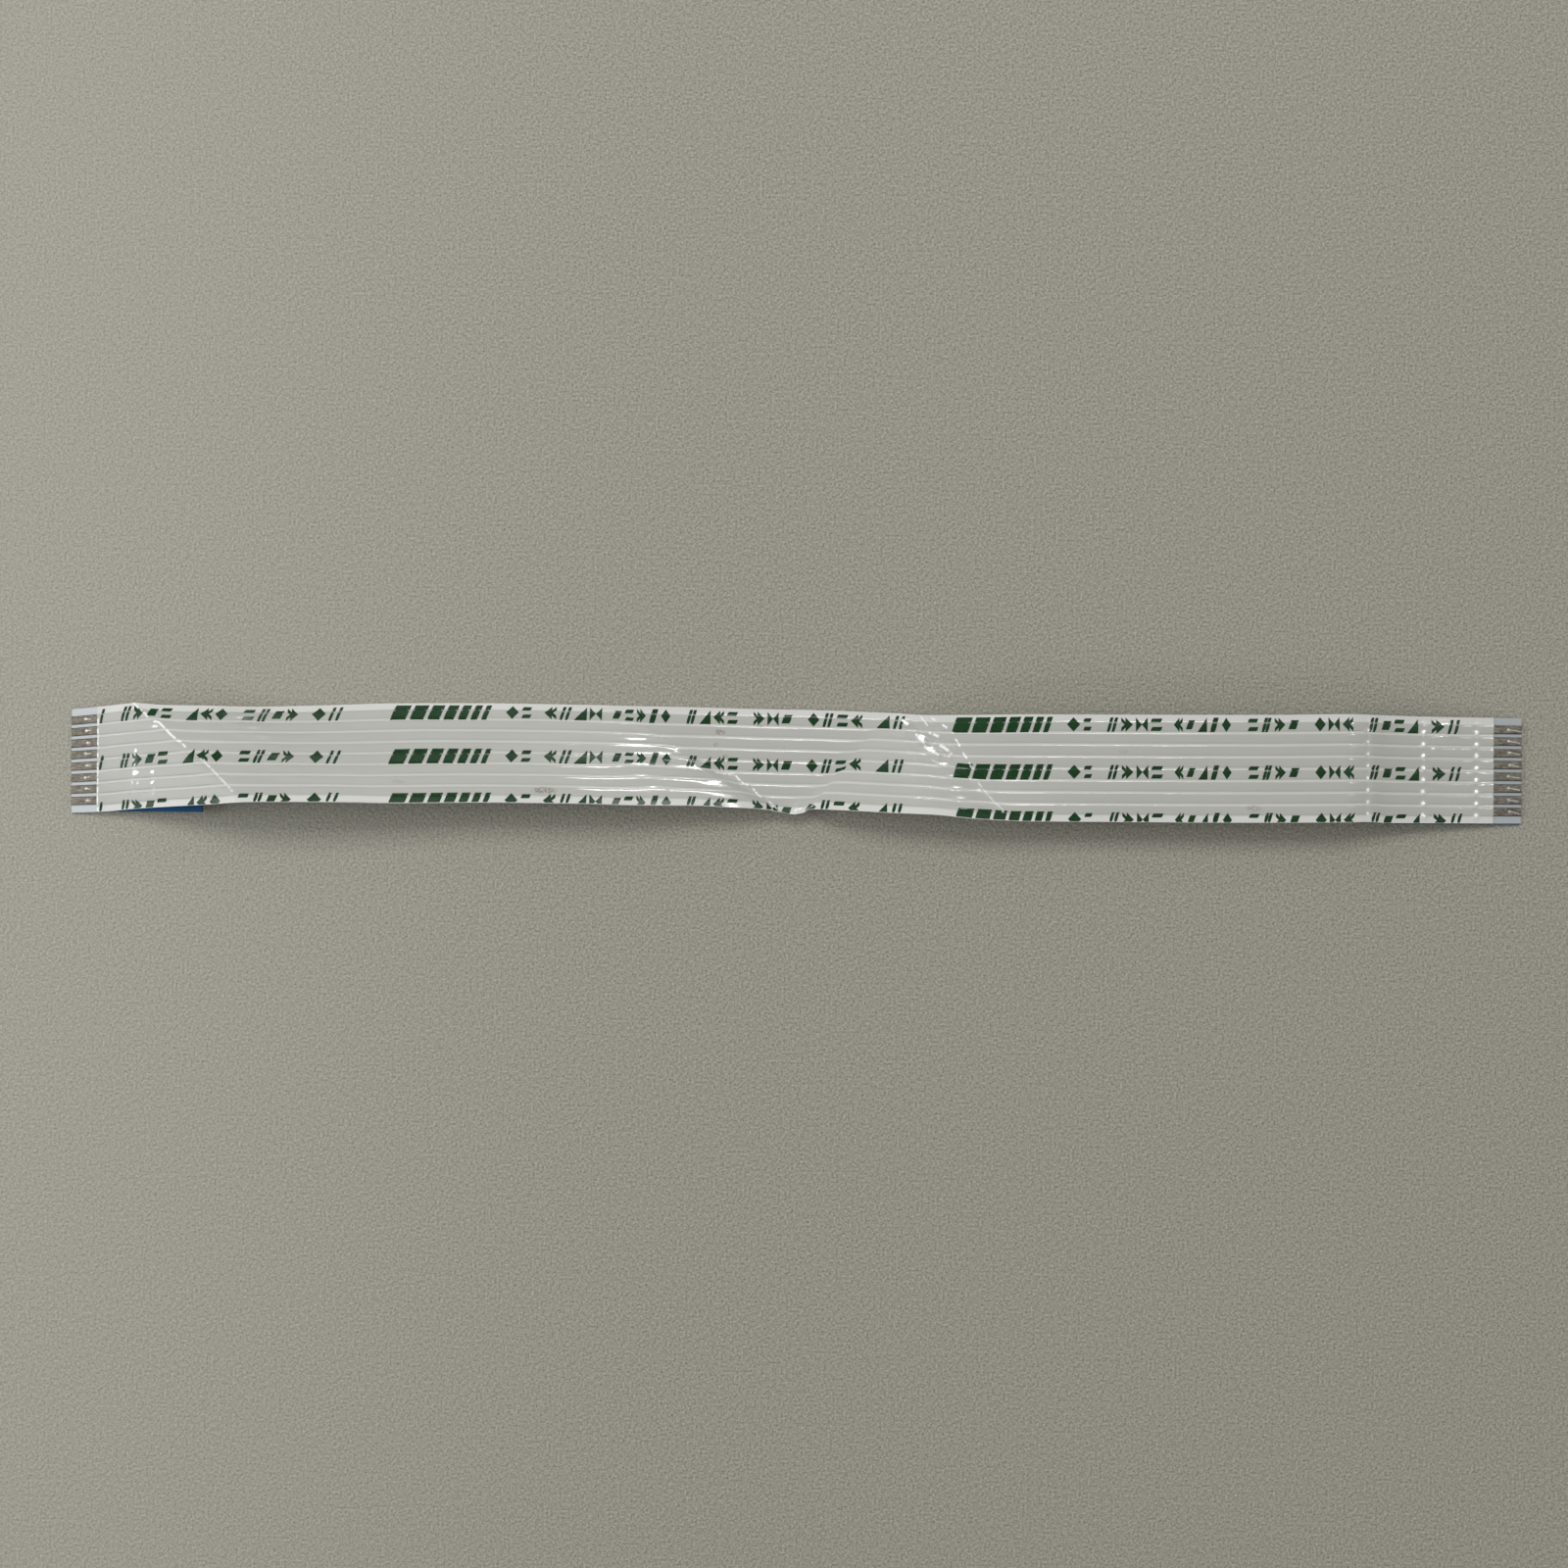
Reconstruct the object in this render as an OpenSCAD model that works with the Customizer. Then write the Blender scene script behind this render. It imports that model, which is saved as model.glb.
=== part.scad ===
// Flat flex cable with 8 flat conductors side by side at 1 mm pitch.
// Two films hold the conductors between them. The upper film stops short of
// each end, so that the conductors lie bare there, on the same side at both
// ends, and a blue stiffener under each end backs the bare contacts.
// The cable is used: it has been folded and lies on a table as it came to
// rest. +X runs along the cable, +Y across it, +Z up, away from the table.
// The origin is under the middle of the cable, on the table.

/* [Section] */
// Width of the cable across both films
cable_w = 9.0; // [8.8:0.05:9.4]
// Distance from one conductor to the next
pitch = 1.0; // [0.95:0.01:1.02]
// Width of one conductor
conductor_w = 0.7; // [0.4:0.05:0.75]
// Thickness of one conductor
conductor_t = 0.1; // [0.05:0.01:0.12]
// Thickness of each film
film_t = 0.05; // [0.04:0.005:0.08]

/* [Ends] */
// Length of the bare contacts at the end on the -X side
bare_left = 2.4; // [1.5:0.1:3.5]
// Length of the bare contacts at the end on the +X side
bare_right = 2.5; // [2:0.1:3.5]
// Length of each stiffener
stiffener_l = 11.9; // [9:0.1:12]
// Thickness of each stiffener
stiffener_t = 0.16; // [0.12:0.01:0.25]
// How much narrower the loose stiffener on the -X side is than the cable
stiffener_trim = 0.3; // [0.1:0.05:0.5]

/* [Lie on the table] */
// Share of the full height that the folds lift the cable by
lift = 1.0; // [0.6:0.05:1.1]

/* [Hidden] */

half_l = 62.2;          // half the distance from end to end
n_cond = 8;
clear = 0.005;          // glue line between two pieces
stiff_gap = 0.01;       // glue line over a stiffener
seat = stiffener_t + stiff_gap + film_t;  // height of the film's top side at a tip
tab_rise = 0.1;         // slope of the -X end, which leans up from its tip

// Where the two long edges of the lower film run, seen from above: [x, y].
edge_y_pos = [[-62.2, 4.55], [-59.5, 4.8], [-57, 5.05], [-56.4, 5.1], [-55.8, 5.05],
              [-53.5, 4.9], [-50, 4.85], [-46.5, 4.8], [-42.5, 4.9], [-38.5, 5.05],
              [-34.5, 5.2], [-26, 5.25], [-17, 5.15], [-9, 5.05], [-2, 4.9], [2, 4.85],
              [5.5, 4.75], [9, 4.6], [12, 4.45], [16, 4.45], [20, 4.5], [24, 4.5],
              [40, 4.55], [47, 4.65], [50, 4.6], [53.5, 4.55], [62.2, 4.5]];
edge_y_neg = [[-62.2, -4.4], [-59.5, -4.3], [-56, -4.0], [-53, -3.8], [-49.5, -3.6],
              [-45.5, -3.35], [-41.5, -3.3], [-37.3, -3.3], [-33.5, -3.35], [-25, -3.25],
              [-17, -3.3], [-12.7, -3.4], [-8.5, -3.4], [-5.5, -3.5], [-2, -3.7],
              [-0.6, -3.95], [0.4, -4.1], [1.2, -4.0], [2, -3.65], [5.5, -3.75],
              [9, -3.9], [12, -4.0], [16, -4.35], [18.2, -4.45], [20, -4.5],
              [32.5, -4.5], [46.5, -4.4], [48.5, -4.35], [50.5, -4.45], [62.2, -4.45]];
// How high the same edges are: [x, z], where z is 0.29 at the tips.
edge_z_pos = [[-62.2, 0.29], [-61, 0.41], [-60, 0.51], [-59, 0.61], [-58.5, 0.67],
              [-56.4, 0.95], [-53.5, 1.25], [-50.9, 1.5], [-50, 1.5], [-46.9, 0.95],
              [-42.8, 0.45], [-38.6, 0.2], [-33, 0.15], [5, 0.15], [8, 0.2], [10.5, 0.45],
              [13.7, 1.3], [17, 2.1], [20.2, 2.6], [24.3, 2.8], [40.6, 2.85],
              [46.3, 2.8], [48.5, 2.45], [50.5, 1.9], [53.4, 1.35], [58.2, 0.7], [62.2, 0.29]];
edge_z_neg = [[-62.2, 0.29], [-61, 0.41], [-60, 0.51], [-59, 0.61], [-58.5, 0.67],
              [-56.3, 1.2], [-53.1, 2.2], [-49.6, 3.2], [-45.6, 4.3], [-41.4, 4.5],
              [-33.3, 4.0], [-25, 3.6], [-17, 3.5], [-12.7, 3.2], [-8.7, 2.7], [-5.4, 2.3],
              [-2, 1.6], [0.2, 1.0], [2, 1.5], [5.4, 2.4], [8.7, 2.9], [12, 3.2],
              [16, 3.15], [18.5, 3.0], [24.3, 2.8], [40.6, 2.85], [46.3, 2.8],
              [48.5, 2.45], [50.5, 1.9], [53.4, 1.35], [58.2, 0.7], [62.2, 0.29]];
// Straight lines across the cable, along which it bends. Each is given by the
// place where it meets the +Y edge, the place where it meets the -Y edge, and
// the number of steps to the next. A slanting line is a fold.
bare_x0 = -half_l + bare_left;
bare_x1 = half_l - bare_right;
stiff_x = half_l - stiffener_l;
lines = [[-half_l, -half_l, 2], [bare_x0, bare_x0, 8], [-56.4, -45.3, 5], [-46, -37, 9],
         [-15.5, -0.2, 4], [9.3, 0.9, 7], [9.6, 18.2, 4], [24, 26, 6], [46.3, 46.3, 1],
         [48.5, 48.5, 1], [stiff_x, stiff_x, 1], [53.4, 53.4, 2], [58.2, 58.2, 1],
         [bare_x1, bare_x1, 1], [half_l, half_l, 0]];

function last(a) = len(a) - 1;
function mix(a, b, s) = a * (1 - s) + b * s;
function unit(v) = v / norm(v);

// Smooth curve through a table of points that never overshoots them.
function rise(t, i) = (t[i + 1][1] - t[i][1]) / (t[i + 1][0] - t[i][0]);
function lean(t, i) =
    i == 0 ? rise(t, 0) : i == last(t) ? rise(t, i - 1)
    : let (a = rise(t, i - 1), b = rise(t, i),
           g = t[i][0] - t[i - 1][0], h = t[i + 1][0] - t[i][0])
      a * b <= 0 ? 0 : 3 * (g + h) / ((2 * h + g) / a + (h + 2 * g) / b);
function seek(t, x, i = 0) =
    i >= last(t) - 1 || x < t[i + 1][0] ? i : seek(t, x, i + 1);
function curve(t, x) =
    let (i = seek(t, x), h = t[i + 1][0] - t[i][0], s = (x - t[i][0]) / h)
    t[i][1] * (2 * pow(s, 3) - 3 * s * s + 1) + lean(t, i) * h * (pow(s, 3) - 2 * s * s + s)
    + t[i + 1][1] * (3 * s * s - 2 * pow(s, 3)) + lean(t, i + 1) * h * (pow(s, 3) - s * s);

// The lines, divided into their steps: [x at the +Y edge, x at the -Y edge].
rulings = concat(
    [for (i = [0 : last(lines) - 1], k = [0 : lines[i][2] - 1])
        let (s = k / lines[i][2])
        [mix(lines[i][0], lines[i + 1][0], s), mix(lines[i][1], lines[i + 1][1], s)]],
    [[lines[last(lines)][0], lines[last(lines)][1]]]);
n_st = len(rulings);
first_top = lines[0][2];
last_top = n_st - 1 - lines[last(lines) - 1][2];
first_right = n_st - 6;

// Height of the film's top side over its seat at the tips, scaled by lift.
function height(z) = seat + (z - 0.29) * lift;
wide = cable_w / 9;
pos_pts = [for (r = rulings) [r[0], curve(edge_y_pos, r[0]) * wide, height(curve(edge_z_pos, r[0]))]];
neg_pts = [for (r = rulings) [r[1], curve(edge_y_neg, r[1]) * wide, height(curve(edge_z_neg, r[1]))]];
mid_pts = (pos_pts + neg_pts) / 2;
// Middle of the cable's extent in Y, which the origin lies under.
y_mid = (max([for (p = pos_pts) p[1]]) + min([for (p = neg_pts) p[1]])) / 2;
normals = [for (i = [0 : n_st - 1])
    let (a = mid_pts[max(0, i - 1)], b = mid_pts[min(n_st - 1, i + 1)])
    unit(cross(b - a, pos_pts[i] - neg_pts[i]))];

// A point at station i, v across the cable from its middle, h over the lower film.
function at(i, v, h) =
    mix(neg_pts[i], pos_pts[i], v / cable_w + 0.5) + normals[i] * h - [0, y_mid, 0];

// Solid between a lower row and an upper row of [v, h] points with as many
// points in each, swept over the stations a to b.
module sweep(low, high, a, b) {
    m = len(low);
    ring = 2 * m;
    pts = [for (i = [a : b]) each concat(
        [for (q = low) at(i, q[0], q[1])],
        [for (j = [m - 1 : -1 : 0]) at(i, high[j][0], high[j][1])])];
    top = (b - a) * ring;
    sides = [for (i = [0 : b - a - 1], j = [0 : ring - 1])
        let (p = i * ring + j, q = i * ring + (j + 1) % ring)
        each (j == m - 1 || j == ring - 1
              ? [[p, q, q + ring], [p, q + ring, p + ring]]
              : j < m ? [[p, q, q + ring], [p, q + ring, p + ring]]
                      : [[p, q, p + ring], [q, q + ring, p + ring]])];
    caps = [for (j = [0 : m - 2]) each [
        [j + 1, j, ring - 1 - j], [j + 1, ring - 1 - j, ring - 2 - j],
        [top + j, top + j + 1, top + ring - 1 - j],
        [top + j + 1, top + ring - 2 - j, top + ring - 1 - j]]];
    polyhedron(points = pts, faces = concat(sides, caps), convexity = 10);
}

function cond_v(k) = (n_cond / 2 - 0.5 - k) * pitch;   // conductor_1 is at +Y
hw = conductor_w / 2;
slot = hw + 0.01;
film_edge = cable_w / 2;

// Places across the film where its pockets begin and end, from -Y to +Y.
film_low = concat([[-film_edge, clear]],
    [for (k = [n_cond - 1 : -1 : 0]) each [
        [cond_v(k) - slot, clear], [cond_v(k) - slot, conductor_t + 2 * clear],
        [cond_v(k) + slot, conductor_t + 2 * clear], [cond_v(k) + slot, clear]]],
    [[film_edge, clear]]);
film_high = concat([[-film_edge, film_t + clear]],
    [for (k = [n_cond - 1 : -1 : 0]) each [
        [cond_v(k) - slot - 0.08, film_t + clear],
        [cond_v(k) - slot + 0.02, conductor_t + film_t],
        [cond_v(k) + slot - 0.02, conductor_t + film_t],
        [cond_v(k) + slot + 0.08, film_t + clear]]],
    [[film_edge, film_t + clear]]);
flat_v = concat([-film_edge],
    [for (k = [n_cond - 1 : -1 : 0]) each [cond_v(k) - slot, cond_v(k) + slot]],
    [film_edge]);

// The upper film: pockets for the conductors below, soft ribs over them above.
module top_film()
    color("#d9dad4")
    sweep(film_low, film_high, first_top, last_top);

// The lower film: plain, and as long as the cable.
module bottom_film()
    color("#e6ebf0")
    sweep([for (v = flat_v) [v, -film_t]], [for (v = flat_v) [v, 0]], 0, n_st - 1);

// One tinned flat conductor, from end to end.
module conductor(k)
    color("#857f76")
    sweep([[cond_v(k) - hw, clear], [cond_v(k) + hw, clear]],
          [[cond_v(k) - hw, conductor_t], [cond_v(k) + hw, conductor_t]],
          0, n_st - 1);

module conductor_1() conductor(0);
module conductor_2() conductor(1);
module conductor_3() conductor(2);
module conductor_4() conductor(3);
module conductor_5() conductor(4);
module conductor_6() conductor(5);
module conductor_7() conductor(6);
module conductor_8() conductor(7);

// The stiffener on the -X side: a flat plate that leans up from its tip. The
// film has come away from its inner end.
module left_stiffener()
    color("#1d5b8a")
    translate([-half_l, -y_mid, seat])
    rotate([0, -atan(tab_rise * lift), 0])
    translate([0, -4.25 * wide, -film_t - stiff_gap - stiffener_t])
    cube([stiffener_l, cable_w - stiffener_trim, stiffener_t]);

// The stiffener on the +X side: still glued on, and bent with the film.
right_rows = [-film_edge - 0.08, -3, -1, 1, 3, film_edge - 0.1];
module right_stiffener()
    color("#1d5b8a")
    sweep([for (v = right_rows) [v, -film_t - stiff_gap - stiffener_t]],
          [for (v = right_rows) [v, -film_t - stiff_gap]],
          first_right, n_st - 1);

top_film();
bottom_film();
conductor_1();
conductor_2();
conductor_3();
conductor_4();
conductor_5();
conductor_6();
conductor_7();
conductor_8();
left_stiffener();
right_stiffener();
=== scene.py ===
import math

import bpy
import numpy as np
from mathutils import Matrix, Vector


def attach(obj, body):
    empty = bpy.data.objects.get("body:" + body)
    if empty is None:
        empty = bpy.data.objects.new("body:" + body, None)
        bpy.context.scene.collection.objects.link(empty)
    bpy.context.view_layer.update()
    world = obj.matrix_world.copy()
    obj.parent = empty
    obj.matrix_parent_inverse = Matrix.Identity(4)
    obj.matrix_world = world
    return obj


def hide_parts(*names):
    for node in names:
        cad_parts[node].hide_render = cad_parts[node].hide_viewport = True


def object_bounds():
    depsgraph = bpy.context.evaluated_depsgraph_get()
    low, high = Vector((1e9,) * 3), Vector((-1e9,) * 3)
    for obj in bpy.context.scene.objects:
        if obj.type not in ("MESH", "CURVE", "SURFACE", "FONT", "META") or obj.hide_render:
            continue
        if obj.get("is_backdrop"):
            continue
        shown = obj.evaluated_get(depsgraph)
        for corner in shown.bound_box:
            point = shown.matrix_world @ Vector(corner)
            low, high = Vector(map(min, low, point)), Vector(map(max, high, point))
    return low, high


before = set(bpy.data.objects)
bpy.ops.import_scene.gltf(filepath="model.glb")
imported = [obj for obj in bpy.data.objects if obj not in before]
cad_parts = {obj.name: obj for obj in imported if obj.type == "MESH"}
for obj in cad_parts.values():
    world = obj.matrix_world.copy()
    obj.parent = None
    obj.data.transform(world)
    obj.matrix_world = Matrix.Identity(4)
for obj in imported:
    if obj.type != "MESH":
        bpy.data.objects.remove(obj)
cad_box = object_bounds()
scene = bpy.context.scene
rng = np.random.default_rng(11)

MM = 0.001

# --------------------------------------------------------------------------
# The cable's shape, the same functions and tables as in part.scad, in mm.
# --------------------------------------------------------------------------
HALF, WIDTH, PITCH = 62.2, 9.0, 1.0
COND_W, COND_T, FILM, CLEAR, GLUE, STIFF = 0.7, 0.1, 0.05, 0.005, 0.01, 0.16
SEAT = STIFF + GLUE + FILM
EDGE_Y_POS = [[-62.2, 4.55], [-59.5, 4.8], [-57, 5.05], [-56.4, 5.1], [-55.8, 5.05],
              [-53.5, 4.9], [-50, 4.85], [-46.5, 4.8], [-42.5, 4.9], [-38.5, 5.05],
              [-34.5, 5.2], [-26, 5.25], [-17, 5.15], [-9, 5.05], [-2, 4.9], [2, 4.85],
              [5.5, 4.75], [9, 4.6], [12, 4.45], [16, 4.45], [20, 4.5], [24, 4.5],
              [40, 4.55], [47, 4.65], [50, 4.6], [53.5, 4.55], [62.2, 4.5]]
EDGE_Y_NEG = [[-62.2, -4.4], [-59.5, -4.3], [-56, -4.0], [-53, -3.8], [-49.5, -3.6],
              [-45.5, -3.35], [-41.5, -3.3], [-37.3, -3.3], [-33.5, -3.35], [-25, -3.25],
              [-17, -3.3], [-12.7, -3.4], [-8.5, -3.4], [-5.5, -3.5], [-2, -3.7],
              [-0.6, -3.95], [0.4, -4.1], [1.2, -4.0], [2, -3.65], [5.5, -3.75],
              [9, -3.9], [12, -4.0], [16, -4.35], [18.2, -4.45], [20, -4.5],
              [32.5, -4.5], [46.5, -4.4], [48.5, -4.35], [50.5, -4.45], [62.2, -4.45]]
EDGE_Z_POS = [[-62.2, 0.29], [-61, 0.41], [-60, 0.51], [-59, 0.61], [-58.5, 0.67],
              [-56.4, 0.95], [-53.5, 1.25], [-50.9, 1.5], [-50, 1.5], [-46.9, 0.95],
              [-42.8, 0.45], [-38.6, 0.2], [-33, 0.15], [5, 0.15], [8, 0.2], [10.5, 0.45],
              [13.7, 1.3], [17, 2.1], [20.2, 2.6], [24.3, 2.8], [40.6, 2.85],
              [46.3, 2.8], [48.5, 2.45], [50.5, 1.9], [53.4, 1.35], [58.2, 0.7], [62.2, 0.29]]
EDGE_Z_NEG = [[-62.2, 0.29], [-61, 0.41], [-60, 0.51], [-59, 0.61], [-58.5, 0.67],
              [-56.3, 1.2], [-53.1, 2.2], [-49.6, 3.2], [-45.6, 4.3], [-41.4, 4.5],
              [-33.3, 4.0], [-25, 3.6], [-17, 3.5], [-12.7, 3.2], [-8.7, 2.7], [-5.4, 2.3],
              [-2, 1.6], [0.2, 1.0], [2, 1.5], [5.4, 2.4], [8.7, 2.9], [12, 3.2],
              [16, 3.15], [18.5, 3.0], [24.3, 2.8], [40.6, 2.85], [46.3, 2.8],
              [48.5, 2.45], [50.5, 1.9], [53.4, 1.35], [58.2, 0.7], [62.2, 0.29]]
BARE0, BARE1, STIFF_X = -HALF + 2.4, HALF - 2.5, HALF - 11.9
LINES = [[-HALF, -HALF], [BARE0, BARE0], [-56.4, -45.3], [-46, -37], [-15.5, -0.2],
         [9.3, 0.9], [9.6, 18.2], [24, 26], [46.3, 46.3], [48.5, 48.5], [STIFF_X, STIFF_X],
         [53.4, 53.4], [58.2, 58.2], [BARE1, BARE1], [HALF, HALF]]
# How far before and after each of those lines the film is creased, in mm.
CREASED = {1: (0.6, 0.6), 2: (1.6, 2.4), 4: (2.0, 1.6), 5: (0.5, 0.5), 6: (2.0, 5.0),
           8: (0.4, 0.4), 9: (0.6, 0.6), 11: (0.7, 0.7), 12: (0.7, 0.7), 13: (0.4, 0.4)}


def curve(table, x):
    t = np.array(table, float)
    X, Y = t[:, 0], t[:, 1]
    h = np.diff(X)
    d = np.diff(Y) / h
    m = np.zeros(len(X))
    for i in range(1, len(X) - 1):
        if d[i - 1] * d[i] > 0:
            a, b = 2 * h[i] + h[i - 1], h[i] + 2 * h[i - 1]
            m[i] = (a + b) / (a / d[i - 1] + b / d[i])
    m[0], m[-1] = d[0], d[-1]
    x = np.asarray(x, float)
    k = np.clip(np.searchsorted(X, x) - 1, 0, len(X) - 2)
    s = np.clip((x - X[k]) / h[k], 0, 1)
    return (Y[k] * (2 * s**3 - 3 * s**2 + 1) + m[k] * h[k] * (s**3 - 2 * s**2 + s)
            + Y[k + 1] * (-2 * s**3 + 3 * s**2) + m[k + 1] * h[k] * (s**3 - s**2))


def rulings(near, far):
    """The lines across the cable, close together where it is creased."""
    out = []
    for i in range(len(LINES) - 1):
        a, b = np.array(LINES[i], float), np.array(LINES[i + 1], float)
        length = np.abs(b - a).max()
        t = 0.0
        while t < 1 - 1e-9:
            out.append(a + (b - a) * t)
            d0 = t * length - CREASED[i][1] if i in CREASED else 9.0
            d1 = (1 - t) * length - CREASED[i + 1][0] if i + 1 in CREASED else 9.0
            step = min(far, near + 0.15 * max(0.0, min(d0, d1))) / length
            if i in (0, len(LINES) - 2):
                step = 0.06 / length
            if i == 1:
                step = min(step, 0.15 / length)
            t = 1.0 if 1 - t < 1.4 * step else t + step
    out.append(np.array(LINES[-1], float))
    out = np.array(out)
    # The lines change their slant gently at the sixth, where there is no fold.
    along = np.concatenate([[0], np.cumsum(np.abs(np.diff(out, axis=0)).max(1))])
    at = along[np.argmin(np.abs(out - LINES[5]).max(1))]
    soft = out.copy()
    shift = np.linspace(-6, 6, 49)
    weight = np.exp(-(shift / 2.6) ** 2)
    for i in np.where(np.abs(along - at) < 6.5)[0]:
        soft[i] = [np.sum(weight * np.interp(along[i] + shift, along, out[:, j])) / weight.sum() for j in (0, 1)]
    keep = np.exp(-np.maximum(np.abs(along - at) - 5.5, 0) ** 2 / 0.2)[:, None]
    return out * (1 - keep) + soft * keep


RUL = rulings(0.1, 0.56)
POS = np.stack([RUL[:, 0], curve(EDGE_Y_POS, RUL[:, 0]),
                SEAT + curve(EDGE_Z_POS, RUL[:, 0]) - 0.29], 1)
NEG = np.stack([RUL[:, 1], curve(EDGE_Y_NEG, RUL[:, 1]),
                SEAT + curve(EDGE_Z_NEG, RUL[:, 1]) - 0.29], 1)
Y_MID = 0.375   # the same shift that centres the CAD model
POS[:, 1] -= Y_MID
NEG[:, 1] -= Y_MID
MID = (POS + NEG) / 2
last = len(RUL) - 1
NRM = np.cross(MID[np.minimum(np.arange(last + 1) + 1, last)]
               - MID[np.maximum(np.arange(last + 1) - 1, 0)], POS - NEG)
NRM /= np.linalg.norm(NRM, axis=1)[:, None]


# --------------------------------------------------------------------------
# Small relief of the used film: creases, dents, the pinched edge. Places are
# (x, v): x along the cable and v across it from its middle, in mm.
# --------------------------------------------------------------------------
def noise1(t, seed):
    """Smooth noise from -1 to 1 along t."""
    k = np.floor(t).astype(int)
    r = np.random.default_rng(seed).uniform(-1, 1, 4096)
    f = t - k
    f = f * f * (3 - 2 * f)
    return r[k % 4096] * (1 - f) + r[(k + 1) % 4096] * f


def noise2(x, y, seed):
    """Smooth noise from -1 to 1 over (x, y)."""
    r = np.random.default_rng(seed).uniform(-1, 1, (256, 256))
    i, j = np.floor(x).astype(int), np.floor(y).astype(int)
    f, g = x - i, y - j
    f, g = f * f * (3 - 2 * f), g * g * (3 - 2 * g)
    i, j, i1, j1 = i % 256, j % 256, (i + 1) % 256, (j + 1) % 256
    return ((r[i, j] * (1 - f) + r[i1, j] * f) * (1 - g)
            + (r[i, j1] * (1 - f) + r[i1, j1] * f) * g)


def to_line(x, v, line):
    """Distance from each (x, v) to a chain of points, the signed side, and how far along it."""
    best = np.full(x.shape, 1e9)
    side = np.zeros(x.shape)
    along = np.zeros(x.shape)
    done = 0.0
    for (ax, ay), (bx, by) in zip(line[:-1], line[1:]):
        dx, dy = bx - ax, by - ay
        length = math.hypot(dx, dy)
        t = np.clip(((x - ax) * dx + (v - ay) * dy) / length**2, 0, 1)
        ex, ey = x - ax - t * dx, v - ay - t * dy
        d = np.hypot(ex, ey)
        near = d < best
        best = np.where(near, d, best)
        side = np.where(near, np.sign(dx * ey - dy * ex), side)
        along = np.where(near, done + t * length, along)
        done += length
    return best, side, along


# Fold lines: (points, height, half width, share of it that is broken up, whitening, which is partly real whitening of
# the creased film and partly a painted highlight).
RIDGES = [
    ([[-56.55, 4.5], [-55.9, 4.05], [-55.3, 3.5], [-54.95, 3.1]], 0.05, 0.10, 0.55, 0.85),
    ([[-54.45, 2.78], [-53.9, 2.66], [-53.35, 2.1], [-52.6, 1.42], [-52.1, 1.0], [-51.7, 0.86]],
     0.06, 0.13, 0.6, 1.0),
    ([[-51.6, 0.72], [-51.25, 0.35]], 0.05, 0.12, 0.3, 0.9),
    ([[-49.9, -0.6], [-49.1, -1.25], [-48.0, -2.3], [-47.3, -2.95], [-46.65, -3.6]], 0.045, 0.11, 0.6, 0.6),
    ([[-6.35, -1.2], [-5.3, -1.22], [-4.75, -1.3]], 0.03, 0.08, 0.5, 0.8),
    ([[-4.6, -1.3], [-4.2, -1.75], [-3.9, -2.0], [-3.45, -2.12]], 0.06, 0.11, 0.15, 1.0),
    ([[-3.1, -2.4], [-2.75, -2.85], [-2.3, -3.25]], 0.06, 0.11, 0.15, 1.0),
    ([[-1.75, -3.5], [-1.35, -3.85], [-0.95, -4.3]], 0.05, 0.10, 0.25, 0.95),
    ([[0.25, -4.5], [0.55, -4.15], [1.15, -4.0]], 0.04, 0.10, 0.3, 0.9),
    ([[1.25, -4.4], [1.75, -4.2], [2.2, -4.15]], 0.04, 0.09, 0.3, 0.8),
    ([[9.55, 3.95], [10.1, 3.45]], 0.05, 0.14, 0.3, 1.0),
    ([[10.75, 2.75], [11.1, 2.25], [11.5, 1.9]], 0.06, 0.17, 0.2, 1.0),
    ([[11.45, 1.65], [11.9, 1.25], [12.7, 0.92]], 0.05, 0.15, 0.25, 1.0),
    ([[11.9, 2.9], [12.75, 2.6]], 0.05, 0.16, 0.3, 0.95),
    ([[12.75, 1.85], [13.35, 1.5], [13.8, 1.05]], 0.05, 0.17, 0.3, 0.95),
    ([[11.15, 4.4], [11.5, 3.95], [11.85, 3.45]], 0.04, 0.08, 0.5, 0.9),
    ([[12.1, 4.25], [12.5, 4.0]], 0.04, 0.10, 0.2, 0.9),
    ([[13.0, 3.7], [13.45, 3.35]], 0.05, 0.11, 0.2, 1.0),
    ([[13.75, 3.0], [14.0, 2.95]], 0.04, 0.09, 0.1, 0.9),
    ([[14.1, 2.5], [14.5, 1.8]], 0.04, 0.10, 0.3, 1.0),
    ([[14.7, 1.35], [15.1, 0.7]], 0.04, 0.10, 0.3, 1.0),
    ([[15.25, 0.45], [15.45, -0.05]], 0.04, 0.09, 0.3, 0.8),
    ([[15.9, -1.2], [16.3, -1.75], [17.1, -2.75], [18.1, -3.7]], 0.03, 0.10, 0.7, 0.5),
    ([[12.0, 0.45], [13.4, -0.1]], 0.03, 0.10, 0.5, 0.4),
]
# Small dents and bumps: (x, v, radius along x, radius along v, height, whitening, which is partly real whitening and
# partly a painted highlight).
SPOTS = [(-54.25, 2.35, 0.42, 0.16, 0.03, 1.0), (12.4, 2.2, 0.5, 0.3, -0.05, 0.0),
         (11.0, 3.3, 0.5, 0.3, -0.04, 0.0), (13.4, 2.3, 0.4, 0.3, 0.04, 0.0),
         (12.6, 3.5, 0.5, 0.25, -0.03, 0.0), (-1.0, -3.9, 0.35, 0.4, -0.07, 0.15),
         (16.05, -1.95, 0.25, 0.13, 0.03, 1.0), (15.5, -1.2, 0.2, 0.1, 0.02, 0.6),
         (17.6, -3.2, 0.22, 0.12, 0.02, 0.7), (18.0, -3.75, 0.15, 0.15, 0.02, 0.8)]
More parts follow.
